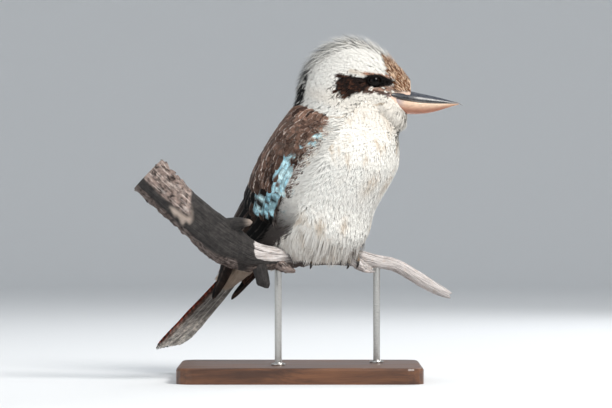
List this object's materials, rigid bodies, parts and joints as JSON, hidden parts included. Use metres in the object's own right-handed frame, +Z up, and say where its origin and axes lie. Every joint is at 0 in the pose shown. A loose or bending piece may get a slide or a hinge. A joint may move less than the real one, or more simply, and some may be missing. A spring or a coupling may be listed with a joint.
{
  "type": "perched laughing kookaburra model",
  "caption": "Life-size laughing kookaburra perched on a cut branch over a plain display stand, body turned and head in profile, tail hanging behind.",
  "frame": {"origin": "centre of the stand base's underside, on the floor", "axes": "+Z up; the bill points along +X, and the breast is turned towards +X and -Y"},
  "size_m": [0.3267, 0.2121, 0.3455],
  "materials": {
    "white_coat": "soft white body feathers",
    "brown_feather": "dark brown wing feathers with pale blue patches",
    "tail_feather": "rufous tail feathers barred with black",
    "bill_black": "smooth dark horn",
    "bill_horn": "smooth pale horn",
    "eye_dark": "glossy dark brown eye",
    "foot_skin": "scaly grey-brown skin with dark claws",
    "weathered_wood": "weathered bark and bare driftwood",
    "stand_wood": "satin dark wood",
    "stand_steel": "satin steel"
  },
  "bodies": {
    "root": {"head": "white_coat", "neck": "white_coat", "torso": "white_coat", "leg_left": "white_coat", "leg_right": "white_coat", "wing_left": "brown_feather", "wing_right": "brown_feather", "tail": "tail_feather", "bill_upper": "bill_black", "bill_lower": "bill_horn", "eye_left": "eye_dark", "eye_right": "eye_dark", "foot_left": "foot_skin", "foot_right": "foot_skin", "perch_branch": "weathered_wood", "stand_base": "stand_wood", "stand_rod_left": "stand_steel", "stand_rod_right": "stand_steel"}
  },
  "joints": []
}
